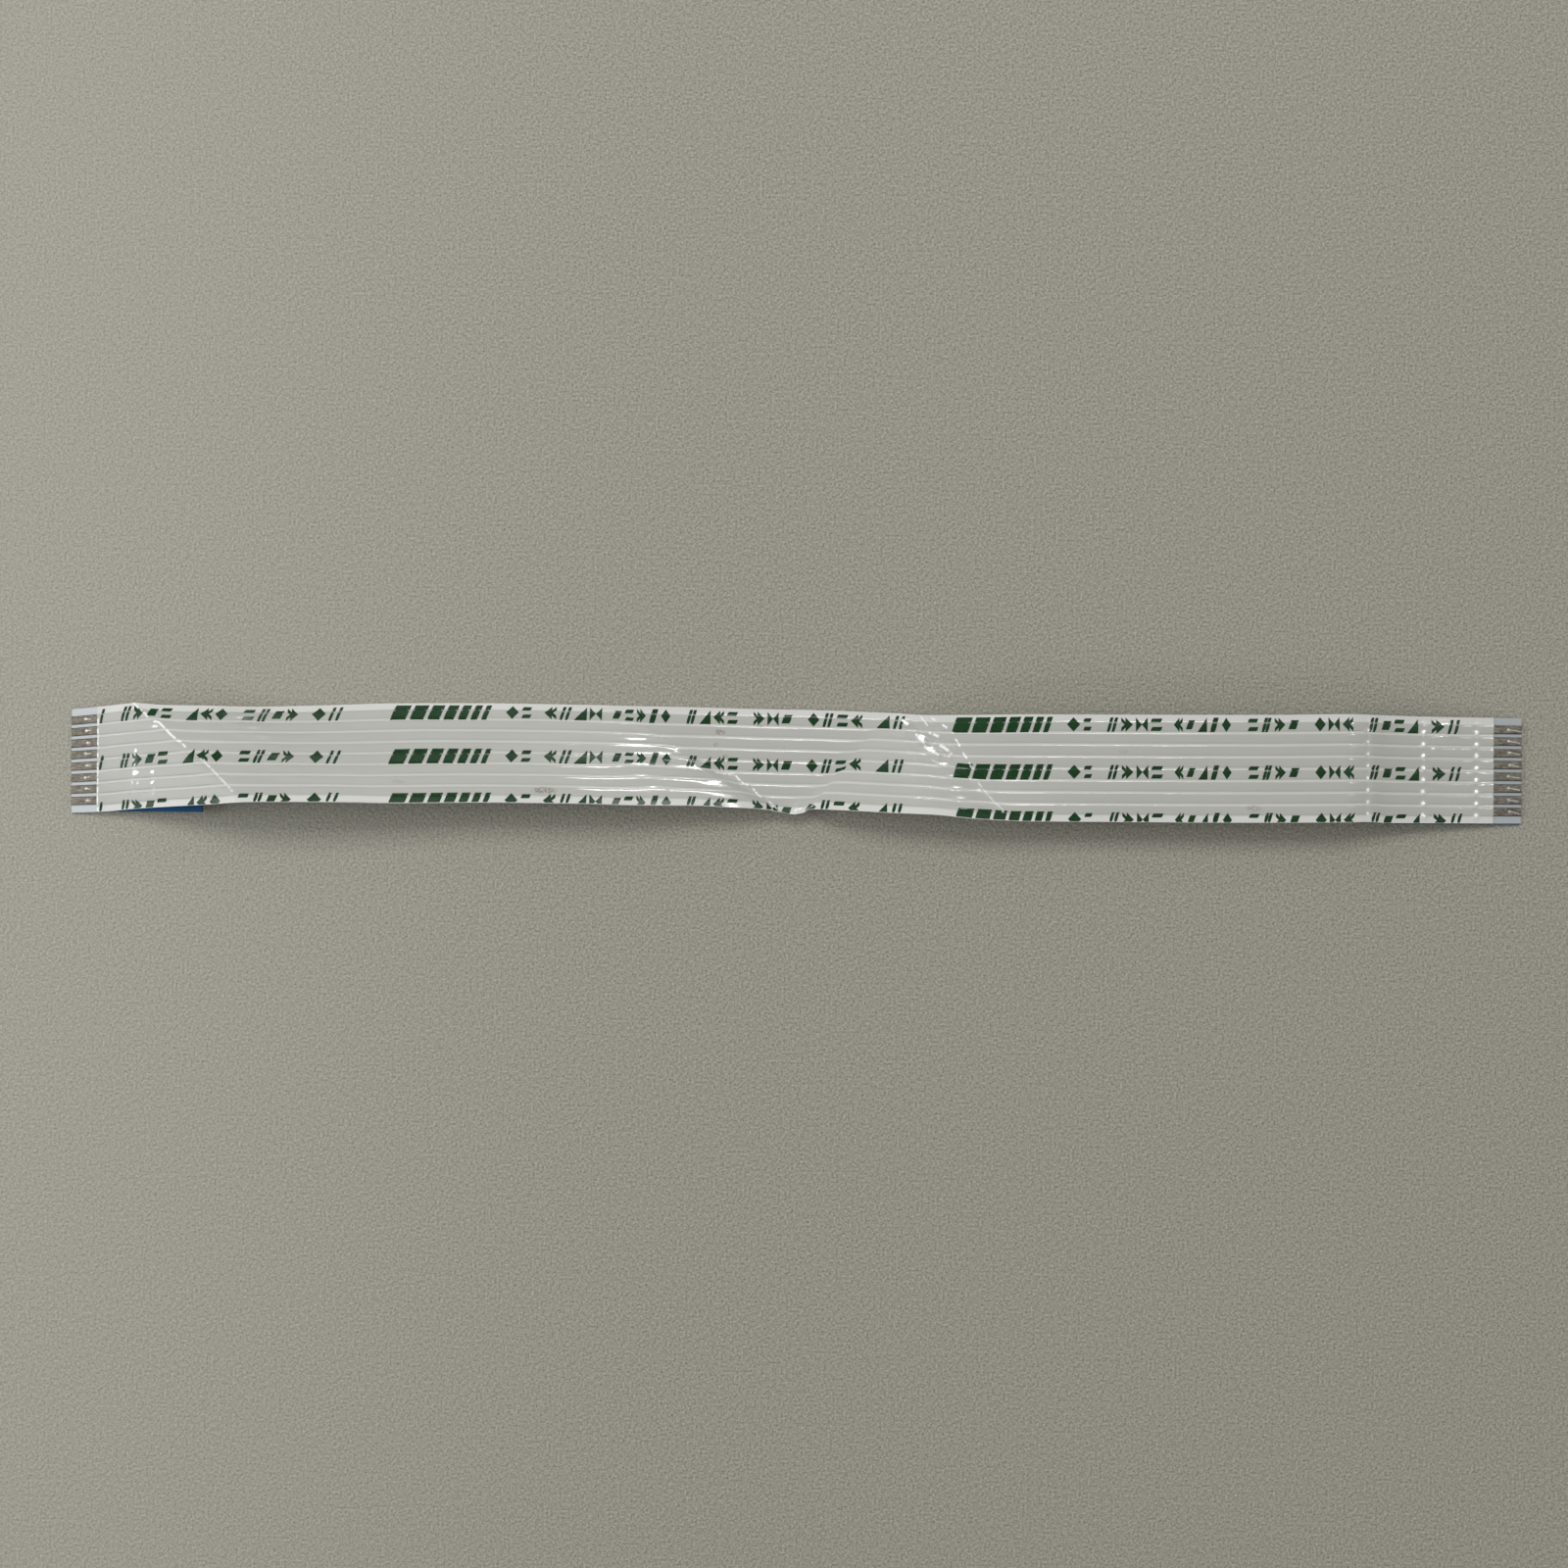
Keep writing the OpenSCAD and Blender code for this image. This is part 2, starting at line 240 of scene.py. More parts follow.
# Small flats of the upper film that catch the light: (x, v, half length along x,
# half width along v, slope along x, slope along v).
FLATS = [
    (-56.03, 0.52, 0.28, 0.31, 0.09, 0.0116), (-56.07, -0.06, 0.54, 0.31, 0.0702, -0.0059),
    (-56.04, -0.64, 0.5, 0.31, 0.0596, -0.0173), (-56, -1.37, 0.66, 0.35, 0.0523, -0.0276),
    (-56.4, -2.2, 0.28, 0.31, 0.0618, -0.0339), (-55.84, -2.28, 0.25, 0.31, 0.0481, -0.0364),
    (-56.38, -3.2, 0.19, 0.38, 0.071, -0.0383), (-54.34, -1.44, 0.44, 0.35, 0.0851, 0.0012),
    (-54.37, -2.29, 0.4, 0.31, 0.0718, -0.0148), (-54.28, -3.08, 0.19, 0.38, 0.0555, -0.0296),
    (-13.24, 1.42, 1.64, 0.31, -0.0003, -0.1777), (-12.72, 0.88, 2.77, 0.2, 0.0028, -0.1561),
    (-13.17, 0.14, 2.52, 0.25, -0.0022, -0.1529), (-10.78, 0.2, 1.13, 0.31, 0.0021, -0.1271),
    (-8.53, -0.33, 1.79, 0.2, 0.0392, -0.0183), (-12.29, -0.89, 3.02, 0.28, 0.0015, -0.1384),
    (-8.32, -0.95, 3.28, 0.33, -0.0014, -0.0668), (-12.45, -1.91, 1.83, 0.2, -0.0025, -0.1197),
    (-9.14, -2.04, 0.44, 0.2, -0.0008, -0.0888), (-6.21, -2.17, 1.13, 0.2, 0.0175, -0.0095),
    (-11.45, -2.92, 1.64, 0.2, 0.0018, -0.0944), (13, 0.11, 0.76, 0.2, 0.0034, -0.1696),
    (13.69, -0.81, 0.69, 0.2, -0.0008, -0.1724), (14.08, -1.85, 0.82, 0.22, -0.0037, -0.1935),
    (14.43, -2.76, 0.88, 0.25, -0.003, -0.1975), (14.45, -3.75, 0.94, 0.22, -0.0012, -0.1968),
    (9.93, 3.55, 0.44, 0.38, 0.001, -0.186), (11.25, 2.26, 0.44, 0.5, 0.0006, -0.1722),
    (12.06, 1.26, 0.82, 0.38, -0.0006, -0.1702), (55.13, 2.84, 1.2, 0.2, 0.0287, -0.0819),
    (54.35, 1.83, 0.31, 0.2, 0.0343, -0.0862), (55.37, 3.93, 1.13, 0.2, 0.0272, -0.0772),
    (48.17, 3.2, 0.2, 0.2, 0.0743, -0.0786), (48.26, 2.21, 0.2, 0.2, 0.0734, -0.083),
    (48.34, 1.23, 0.2, 0.2, 0.0718, -0.0874), (48.43, 0.25, 0.2, 0.2, 0.0708, -0.0917),
    (48.51, -0.82, 0.2, 0.2, 0.0739, -0.0965), (48.58, -1.81, 0.2, 0.2, 0.0827, -0.101),
    (48.67, -2.79, 0.2, 0.2, 0.0974, -0.1055), (48.76, -3.86, 0.2, 0.2, 0.1121, -0.1104),
    (53.52, 3.19, 0.3, 0.3, 0.041, -0.08), (53.53, 2.16, 0.3, 0.3, 0.0409, -0.0845),
    (53.53, 1.21, 0.3, 0.3, 0.041, -0.0887), (53.55, 0.14, 0.3, 0.3, 0.0408, -0.0934),
    (53.56, -0.86, 0.3, 0.3, 0.0407, -0.0978), (53.56, -1.85, 0.3, 0.3, 0.0406, -0.1021),
    (53.57, -2.84, 0.3, 0.3, 0.0405, -0.1065), (53.6, -3.92, 0.3, 0.3, 0.0401, -0.1112),
    (58.13, 3.27, 0.3, 0.3, 0.015, -0.0807), (58.14, 2.23, 0.3, 0.3, 0.015, -0.0852),
    (58.14, 1.27, 0.3, 0.3, 0.0151, -0.0894), (58.15, 0.19, 0.3, 0.3, 0.0151, -0.0941),
    (58.16, -0.81, 0.3, 0.3, 0.015, -0.0984), (58.17, -1.81, 0.3, 0.3, 0.015, -0.1028),
    (58.17, -2.81, 0.3, 0.3, 0.015, -0.1071), (58.2, -3.9, 0.3, 0.3, 0.0148, -0.1118),
]
# The three bends across the +X end.
BENDS = [48.46, 53.45, 58.19]


def relief(x, v):
    """Height in mm that the creases add, and how much they whiten the film, at (x, v). The white is partly real
    whitening of creased film and partly painted highlights at folds, spots and the bends' dots.
    """
    r = np.zeros(x.shape)
    w = np.zeros(x.shape)
    for n, (line, high, wide, broken, whitening_and_glint) in enumerate(RIDGES):
        pts = np.array(line)
        m = ((x > pts[:, 0].min() - 1) & (x < pts[:, 0].max() + 1)
             & (v > pts[:, 1].min() - 1) & (v < pts[:, 1].max() + 1))
        if not m.any():
            continue
        xs, vs = x[m], v[m]
        wob = 0.05 * noise2(xs * 2.3, vs * 2.3, 40 + n)
        d, side, along = to_line(xs + wob, vs - wob, line)
        part = np.clip(1 - broken + broken * 1.6 * noise1(along * 3.1, 70 + n), 0, 1)
        r[m] += high * np.exp(-(d / wide) ** 2) * (0.35 + 0.65 * part)
    for sx, sv, rx, rv, high, whitening_and_glint in SPOTS:
        q = ((x - sx) / rx) ** 2 + ((v - sv) / rv) ** 2
        r += high * np.exp(-q * 1.5)
        w = np.maximum(w, whitening_and_glint * np.exp(-q * 1.6))
    # Bends of the +X end: a shallow groove, and beside each rib a white dot painted on as a highlight where a small
    # knob glints.
    for n, bx in enumerate(BENDS):
        d = x - bx + 0.03 * noise1(v * 1.7, 90 + n)
        k = v - np.floor(v)
        size = (0.6, 1.0, 0.9)[n]
        r += -0.018 * np.exp(-(d / 0.2) ** 2)
        inside = (np.abs(v) < 4.2) & (v > -3.95)
        w = np.maximum(w, (0.85, 1.0, 1.0)[n] * inside * np.exp(-((k - 0.2) / 0.2) ** 2 - (d / (0.13 + 0.07 * size)) ** 2))
    # The pinch in the -Y edge.
    q = ((x - 0.7) / 1.0) ** 2 + ((v + 4.35) / 0.75) ** 2
    pinch = np.exp(-q)
    r += pinch * (0.16 + 0.07 * noise2(x * 2.6, v * 2.6, 21) + 0.03 * noise2(x * 6, v * 6, 22))
    w = np.maximum(w, 0.45 * pinch * (0.6 + 0.4 * noise2(x * 5, v * 5, 23)))
    # The crumpled patch of the third fold.
    q = ((x - 12.2 - 0.35 * (2.5 - v)) / 1.9) ** 2 + ((v - 2.4) / 1.9) ** 2
    r += np.exp(-q) * (0.035 * noise2(x * 1.9, v * 1.9, 31) + 0.015 * noise2(x * 4.4, v * 4.4, 32))
    # The whole film is a little uneven.
    r += 0.010 * noise2(x * 0.35, v * 0.6, 33) + 0.003 * noise2(x * 1.3, v * 1.1, 34)
    # Nothing moves at the tips, where the ends lie on the table.
    tips = np.clip((HALF - np.abs(x)) / 1.0, 0, 1)
    return r * tips, np.clip(w, 0, 1)


def fold_field(x, v):
    """For the shader: signed distance to the nearest fold line, how far along it, and how white it is there."""
    # the white is partly real whitening of the creased film and partly painted highlight
    s = np.full(x.shape, 2.0)
    along = np.zeros(x.shape)
    whitening_and_glint = np.zeros(x.shape)
    wide = np.full(x.shape, 0.1)
    near = np.full(x.shape, 1.5)
    for n, (line, _, width, broken, amount) in enumerate(RIDGES):
        pts = np.array(line)
        m = ((x > pts[:, 0].min() - 1) & (x < pts[:, 0].max() + 1)
             & (v > pts[:, 1].min() - 1) & (v < pts[:, 1].max() + 1))
        if not m.any():
            continue
        d, side, a = to_line(x[m], v[m], line)
        total = np.linalg.norm(np.diff(pts, axis=0), axis=1).sum()
        fade = np.clip(np.minimum(a, total - a) / 0.05, 0, 1)
        better = d < near[m]
        idx = np.where(m)
        idx = tuple(i[better] for i in idx)
        near[idx] = d[better]
        s[idx] = (d * np.where(side == 0, 1, side))[better]
        along[idx] = a[better] + 7.3 * n
        whitening_and_glint[idx] = (amount * fade)[better]
        wide[idx] = width
    return np.stack([s, along, whitening_and_glint], -1), wide


def grid(stations, v, h, lift=True):
    """Points for every station and every (v, h), in mm, with their x and v."""
    v, h = np.asarray(v, float), np.asarray(h, float)
    w = (v / WIDTH + 0.5)[None, :, None]
    i = np.asarray(stations)
    base = NEG[i][:, None] * (1 - w) + POS[i][:, None] * w
    x = base[:, :, 0].copy()
    vv = np.broadcast_to(v, x.shape)
    r = relief(x, vv)[0] if lift else 0 * x
    hh = np.broadcast_to(h, x.shape) + r
    return base + NRM[i][:, None] * hh[:, :, None], x, vv


def place(x, v, h):
    """The point at (x, v), h over the lower film: three arrays of one shape."""
    w = v / WIDTH + 0.5
    lo, hi = np.zeros(x.shape, int), np.full(x.shape, last)
    for _ in range(12):
        m = (lo + hi) // 2
        up = NEG[m, 0] * (1 - w) + POS[m, 0] * w <= x
        go = hi - lo > 1
        lo, hi = np.where(up & go, m, lo), np.where(~up & go, m, hi)
    a = NEG[lo, 0] * (1 - w) + POS[lo, 0] * w
    b = NEG[lo + 1, 0] * (1 - w) + POS[lo + 1, 0] * w
    t = ((x - a) / (b - a))[..., None]
    w = w[..., None]
    p = ((NEG[lo] * (1 - t) + NEG[lo + 1] * t) * (1 - w)
         + (POS[lo] * (1 - t) + POS[lo + 1] * t) * w)
    n = NRM[lo] * (1 - t) + NRM[lo + 1] * t
    n /= np.linalg.norm(n, axis=-1)[..., None]
    return p + n * (h + relief(x, v)[0])[..., None]


def step(t):
    t = np.clip(t, 0, 1)
    return t * t * (3 - 2 * t)


RIB, VALLEY = COND_T + FILM, 0.088


def top_of_film(v):
    """Height of the upper film's top side: soft ribs over the conductors."""
    k = np.abs(v - np.floor(v) - 0.5)
    s = 1 - step((k - 0.33) / 0.13)
    s = np.where(np.abs(v) > 4.0, 1 - step((np.abs(v) - 3.83) / 0.15), s)
    crown = 0.008 * (1 - np.clip(k / 0.33, 0, 1) ** 2)
    return VALLEY + (RIB - VALLEY) * s + crown * s


def flat_levels():
    """The height of each flat's middle: it bridges the hollows in its reach."""
    out = []
    for fx, fv, rx, rv, gx, gv in FLATS:
        dx, dv = np.meshgrid(np.linspace(-0.7, 0.7, 9) * rx, np.linspace(-0.7, 0.7, 13) * rv)
        x, v = fx + dx, np.clip(fv + dv, -4.5, 4.5)
        out.append((top_of_film(v) + relief(x, v)[0] - gx * dx - gv * dv).max() - 0.015)
    return out


LEVELS = flat_levels()


def skin_of_film(x, v):
    """The upper film's top side with its flats, as a height over the lower film."""
    h = top_of_film(v) + 0 * x
    for level, (fx, fv, rx, rv, gx, gv) in zip(LEVELS, FLATS):
        m = (np.abs(x - fx) < 1.4 * rx) & (np.abs(v - fv) < 1.4 * rv)
        if not m.any():
            continue
        dx, dv = x[m] - fx, v[m] - fv
        w = np.exp(-((dx / rx) ** 2 + (dv / rv) ** 2) ** 2)
        h[m] += w * (level + gx * dx + gv * dv - h[m] - relief(x[m], v[m])[0])
    return h


def under_of_film(v):
    """Height of the lower film's underside: shallow hollows between the conductors."""
    k = np.abs(v - np.floor(v) - 0.5)
    s = 1 - step((k - 0.33) / 0.13)
    s = np.where(np.abs(v) > 4.0, 1 - step((np.abs(v) - 3.83) / 0.15), s)
    return -FILM + 0.028 * (1 - s)


# Wipe marks that a connector's springs left on the bare contacts: a dent, and a
# scratch from it, as (conductor, x of the dent, v from the middle, x and v where
# the scratch ends).
MARKS = ([(k, -60.9 + 0.05 * ((k * 7) % 5) - 0.04, 0.05 - 0.03 * (k % 3), -60.45, -0.02 + 0.03 * (k % 2)) for k in range(8)]
         + [(k, 61.02 + 0.04 * ((k * 5) % 4), 0.02 + 0.02 * (k % 3), 61.95 + 0.05 * (k % 3), -0.1 - 0.04 * (k % 2))
            for k in range(8)])


def mark_field(x, v):
    """How strongly a wipe mark brightens the tin at (x, v), and its depth in mm."""
    w = np.zeros(x.shape)
    r = np.zeros(x.shape)
    for k, mx, mv, ex, ev in MARKS:
        c = 3.5 - k
        q = ((x - mx) / 0.17) ** 2 + ((v - c - mv) / 0.14) ** 2
        w = np.maximum(w, np.exp(-q))
        r -= 0.018 * np.exp(-q)
        d = to_line(x, v, [[mx, c + mv], [ex, c + ev]])[0]
        w = np.maximum(w, 0.9 * np.exp(-(d / 0.05) ** 2))
        r -= 0.006 * np.exp(-(d / 0.07) ** 2)
    return w, r


# --------------------------------------------------------------------------
# Meshes
# --------------------------------------------------------------------------
def mesh_object(name, points, faces, attributes=None, sharp=35):
    me = bpy.data.meshes.new(name)
    me.from_pydata((np.asarray(points) * MM).tolist(), [], [tuple(f) for f in faces])
    me.validate(verbose=False)
    me.update()
    me.polygons.foreach_set("use_smooth", [True] * len(me.polygons))
    me.set_sharp_from_angle(angle=math.radians(sharp))
    for key, values in (attributes or {}).items():
        values = np.asarray(values, np.float32)
        kind = "FLOAT" if values.ndim == 1 else "FLOAT_VECTOR"
        a = me.attributes.new(key, kind, "POINT")
        a.data.foreach_set("value" if values.ndim == 1 else "vector", values.ravel())
    ob = bpy.data.objects.new(name, me)
    scene.collection.objects.link(ob)
    return ob


def swept(name, rows_low, rows_high, cols_low, cols_high, xv_low, xv_high, sharp=35, extra=None):
    """A closed solid between a lower and an upper sheet over the same stations. The
    sheets may have different numbers of columns, with the same first and last place."""
    n = rows_low.shape[0]
    a, b = cols_low, cols_high
    low = np.arange(n * a).reshape(n, a)
    high = np.arange(n * b).reshape(n, b) + n * a
    faces = []
    q = lambda g, flip: (np.stack([g[:-1, :-1], g[1:, :-1], g[1:, 1:], g[:-1, 1:]], -1)
                         if not flip else
                         np.stack([g[:-1, :-1], g[:-1, 1:], g[1:, 1:], g[1:, :-1]], -1)).reshape(-1, 4)
    faces += q(high, False).tolist()
    faces += q(low, True).tolist()
    for j, flip in ((0, False), (-1, True)):
        l, h = low[:, j], high[:, j]
        f = np.stack([l[:-1], l[1:], h[1:], h[:-1]], -1)
        faces += (f[:, ::-1] if flip else f).tolist()
    faces += [[int(k) for k in np.concatenate([low[0][::-1], high[0]])]]
    faces += [[int(k) for k in np.concatenate([low[-1], high[-1][::-1]])]]
    pts = np.concatenate([rows_low.reshape(-1, 3), rows_high.reshape(-1, 3)])
    lay = np.concatenate([np.stack([xv_low[0].ravel(), xv_low[1].ravel(), np.zeros(n * a)], 1),
                          np.stack([xv_high[0].ravel(), xv_high[1].ravel(), np.ones(n * b)], 1)])
    folds, wide = fold_field(lay[:, 0], lay[:, 1])
    attributes = {"lay": lay, "crease_white_and_glint": relief(lay[:, 0], lay[:, 1])[1], "fold": folds, "fold_wide": wide}
    attributes.update(extra or {})
    return mesh_object(name, pts, faces, attributes, sharp)


film_rows = np.where((RUL[:, 0] >= BARE0 - 1e-6) & (RUL[:, 0] <= BARE1 + 1e-6)
                     & (RUL[:, 1] >= BARE0 - 1e-6) & (RUL[:, 1] <= BARE1 + 1e-6))[0]
all_rows = np.arange(last + 1)
per = [-0.5, -0.45, -0.405, -0.36, -0.315, -0.2, -0.1, 0.0, 0.1, 0.2, 0.315, 0.36, 0.405, 0.45]
v_top = sorted({round(k + p, 4) for k in np.arange(-3.5, 4, 1) for p in per})
v_top = [-4.5, -4.47, -4.35, -4.2, -4.08] + [v for v in v_top if -4.0 < v] + [4.0, 4.08, 4.2, 4.35, 4.47, 4.5]
v_top = np.array(sorted(set(v_top)))
slot = COND_W / 2 + 0.01
v_pocket, h_pocket = [-4.5], [CLEAR]
for k in range(8):
    c = -3.5 + k
    v_pocket += [c - slot, c - slot, c + slot, c + slot]
    h_pocket += [CLEAR, COND_T + 2 * CLEAR, COND_T + 2 * CLEAR, CLEAR]
v_pocket += [4.5]
h_pocket += [CLEAR]

# Upper film.
high, hx, hv = grid(film_rows, v_top, np.zeros(len(v_top)))
high = high + NRM[film_rows][:, None] * skin_of_film(hx, hv)[:, :, None]
low, lx, lv = grid(film_rows, v_pocket, h_pocket)
top_film = swept("top_film_skin", low, high, len(v_pocket), len(v_top), (lx, lv), (hx, hv))

# Lower film.
v_low = np.array(sorted({-4.5, -4.47, -4.1, 4.1, 4.47, 4.5}
                        | {round(k + p, 4) for k in np.arange(-3.5, 4, 1)
                           for p in (-0.5, -0.46, -0.395, -0.33, 0.0, 0.33, 0.395, 0.46, 0.5)}))
high, hx, hv = grid(all_rows, v_low, np.zeros(len(v_low)))
low, lx, lv = grid(all_rows, v_low, under_of_film(v_low))
bottom_film = swept("bottom_film_skin", low, high, len(v_low), len(v_low), (lx, lv), (hx, hv))

# Conductors: flat tinned strips, scratched and a little dented where they are bare.
conductors = []
for k in range(8):
    c = 3.5 - k
    vs = c + np.array([-0.35, -0.34, -0.3, -0.22, -0.15, -0.09, -0.03, 0.03, 0.09, 0.15, 0.22, 0.3, 0.34, 0.35])
    hs = np.full(len(vs), COND_T)
    hs[[0, 1, -2, -1]] = COND_T - 0.012, COND_T - 0.004, COND_T - 0.004, COND_T - 0.012
    high, hx, hv = grid(all_rows, vs, hs)
    mark, dent = mark_field(hx, hv)
    high = high + NRM[:, None] * dent[:, :, None]
    low, lx, lv = grid(all_rows, [c - 0.35, c + 0.35], [CLEAR, CLEAR])
    ob = swept("conductor_%d_strip" % (k + 1), low, high, 2, len(vs), (lx, lv), (hx, hv), sharp=50,
               extra={"mark": np.concatenate([np.zeros(lx.size), mark.ravel()])})
    conductors.append(ob)

# --------------------------------------------------------------------------
# Print: plain strokes, bars, chevrons and wedges in the rhythm of three rows of
# small print. Each is draped over the ribs as a thin coat of ink.
# --------------------------------------------------------------------------
# (first x, last x, the shapes in it)
GROUPS = [(-59.6, -59.1, "n"), (-57.6, -52.9, "h>p="), (-51.6, -48.05, "w<d"), (-46.85, -42.25, "=hp>"),
          (-41.1, -38.5, "dh"), (-34.35, -25.65, "bold"), (-24.4, -22.2, "mark"), (-21.1, -16.15, "<hwt"),
          (-15.25, -10.25, "p=>hd"), (-8.9, -4.45, "hw<="), (-3.1, 0.25, ">tp"), (1.55, 6.25, "dh=<"),
          (7.5, 9.9, "wh"), (13.8, 22.15, "bold"), (23.3, 25.35, "mark"), (26.6, 31.25, "h>t="),
          (32.2, 36.95, "<pwhd"), (38.35, 42.6, "=h>p"), (43.9, 47.15, "dt<"), (48.45, 53.0, "hp=w"),
          (54.2, 56.75, ">h")]
# How far the row at the -Y edge is shifted along x against the row at the +Y edge.
SHIFT = [[-62, -0.15], [-56, -0.1], [-49, 0.25], [-42.5, 0.8], [-36, 0.75], [-29, 0.6],
         [-22, 0.5], [-15.5, 0.4], [-9, 0.2], [-2, 0.0], [4.5, -0.25], [11, -0.3],
         [14.5, -0.05], [21, 0.15], [44, 0.15], [54, 0.25], [62, 0.25]]
ROWS = [(3.66, 1.2, 0.0), (-0.32, 1.2, 0.5), (-4.28, 1.2, 1.0)]   # middle, height, share of shift
STROKE = 0.23


def columns(x, lo, hi):
    return (np.asarray(x, float), np.asarray(lo, float), np.maximum(np.asarray(hi, float), np.asarray(lo, float) + 0.01))


def slanted(x0, width, lean, low, high):
    """One leaning stroke: a parallelogram."""
    x = np.linspace(x0, x0 + width + lean, max(8, int((width + lean) / 0.08)))
    u = (x - x0 - width) / lean      # where the right side has come to
    w = (x - x0) / lean              # where the left side has come to
    h = high - low
    return columns(x, low + h * np.clip(u, 0, 1), low + h * np.clip(w, 0, 1))


def bar(x0, x1, low, high):
    n = max(3, int((x1 - x0) / 0.08))
    return columns(np.linspace(x0, x1, n), np.full(n, low), np.full(n, high))


def column_shapes(kind, x0, x1, low, high):
    """Shapes as lists of columns (x, low, high)."""
    w, h, mid = x1 - x0, high - low, (low + high) / 2
    n = max(11, int(math.ceil(w / 0.08)) | 1)
    x = np.linspace(x0, x1, n)
    t = (x - x0) / w
    if kind == "h":      # two leaning strokes
        return [slanted(x0, 0.27, 0.32, low, high), slanted(x1 - 0.32 - 0.27, 0.27, 0.32, low, high)]
    if kind == "p":      # a low leaning block
        return [slanted(x0, w - 0.25, 0.25, mid - 0.38, mid + 0.38)]
    if kind == "=":      # two leaning bars, one above the other
        return [slanted(x0, w - 0.12, 0.12, low + 0.08, low + 0.42), slanted(x0, w - 0.12, 0.12, high - 0.42, high - 0.08)]
    if kind in "<>":     # two nested chevrons, lying on their sides
        out = []
        for i in range(2):
            a = x0 + i * 0.36 * w
            b = a + 0.62 * w
            xs = np.linspace(a, b, n)
            u = (xs - a) / (b - a)
            if kind == "<":
                u = 1 - u
            top = mid + (h / 2) * (1 - u)
            out += [columns(xs, np.maximum(top - 0.34, mid), top),
                    columns(xs, 2 * mid - top, np.minimum(2 * mid - top + 0.34, mid))]
        return out
    if kind == "w":      # wedge
        return [columns(x, np.full(n, low), low + 0.03 + (h - 0.03) * t)]
    if kind == "d":      # diamond
        u = (1 - np.abs(2 * t - 1)) * h / 2
        return [columns(x, mid - u, mid + u)]
    if kind == "t":      # two wedges, point to point
        u = np.abs(2 * t - 1) * h / 2
        return [columns(x, mid - u, mid + u)]
    if kind == "n":      # a single stroke
        return [slanted(x0, 0.25, 0.25, low, high)]
    raise ValueError(kind)


def print_shapes():
    out = []
    for mid, height, share in ROWS:
        for x0, x1, kinds in GROUPS:
            s = share * float(np.interp((x0 + x1) / 2, [p[0] for p in SHIFT], [p[1] for p in SHIFT]))
            x0s, x1s = x0 + s, x1 + s
            low, high = mid - height / 2, mid + height / 2
            if kinds == "bold":
                # a heavy band of broad leaning strokes, narrower and narrower
                low, high = mid - 0.67, mid + 0.63
                widths = [1.35, 1.2, 1.05, 0.9, 0.75, 0.6, 0.45]
                gap = (x1s - x0s - 0.4 - sum(widths)) / (len(widths) - 1)
                a = x0s
                for wide in widths:
                    out.append(slanted(a, wide, 0.4, low, high))
                    a += wide + gap
                continue
            if kinds == "mark":
                out += column_shapes("d", x0s, x0s + 1.1, low, high)
                out += column_shapes("=", x0s + 1.35, x1s, low, high)
                continue
            gap = 0.24
            wide = (x1s - x0s + gap) / len(kinds)
            for i, kind in enumerate(kinds):
                out += column_shapes(kind, x0s + i * wide, x0s + (i + 1) * wide - gap, low, high)
    return out


def ink_mesh():
    pts, faces, lay = [], [], []
    done = 0
    for x, lo, hi in print_shapes():
        lo, hi = np.maximum(lo, -4.465), np.minimum(hi, 4.465)
        keep = hi - lo > 0.009
        if keep.sum() < 2:
            continue
        x, lo, hi = x[keep], lo[keep], hi[keep]
        keep = (x > BARE0 + 0.03) & (x < BARE1 - 0.03)
        if keep.sum() < 2:
            continue
        x, lo, hi = x[keep], lo[keep], hi[keep]
        rows = max(4, int(math.ceil((hi - lo).max() / 0.07)))
        t = np.linspace(0, 1, rows + 1)
        V = lo[:, None] * (1 - t) + hi[:, None] * t
        X = np.broadcast_to(x[:, None], V.shape)
        h = skin_of_film(X, V)
        up = place(X, V, h + 0.012)
        dn = place(X, V, h - 0.02)
        n, m = V.shape
        g = np.arange(n * m).reshape(n, m) + done
        k = g + n * m
        faces += np.stack([g[:-1, :-1], g[1:, :-1], g[1:, 1:], g[:-1, 1:]], -1).reshape(-1, 4).tolist()
        faces += np.stack([k[:-1, :-1], k[:-1, 1:], k[1:, 1:], k[1:, :-1]], -1).reshape(-1, 4).tolist()
        for a, b in ((g[:, 0], k[:, 0]), (g[:, -1][::-1], k[:, -1][::-1]),
                     (g[0][::-1], k[0][::-1]), (g[-1], k[-1])):
            faces += np.stack([b[:-1], b[1:], a[1:], a[:-1]], -1).tolist()
        pts += [up.reshape(-1, 3), dn.reshape(-1, 3)]
        lay += 2 * [np.stack([X.ravel(), V.ravel(), np.ones(n * m)], 1)]
        done += 2 * n * m
    lay = np.concatenate(lay)
    folds, wide = fold_field(lay[:, 0], lay[:, 1])
    return mesh_object("print_coat", np.concatenate(pts), faces,
                       {"lay": lay, "crease_white_and_glint": relief(lay[:, 0], lay[:, 1])[1], "fold": folds, "fold_wide": wide}, 40)


ink = ink_mesh()

# --------------------------------------------------------------------------
# Materials
# --------------------------------------------------------------------------
def material(name):
    m = bpy.data.materials.new(name)
    m.use_nodes = True
    nt = m.node_tree
    nt.nodes.clear()
    out = nt.nodes.new("ShaderNodeOutputMaterial")
    b = nt.nodes.new("ShaderNodeBsdfPrincipled")
    nt.links.new(b.outputs["BSDF"], out.inputs["Surface"])
    return m, nt, b


def node(nt, kind, inputs=None, **settings):
    n = nt.nodes.new(kind)
    for k, v in settings.items():
        setattr(n, k, v)
    for k, v in (inputs or {}).items():
        if isinstance(v, bpy.types.NodeSocket):
            nt.links.new(v, n.inputs[k])
        else:
            n.inputs[k].default_value = v
    return n


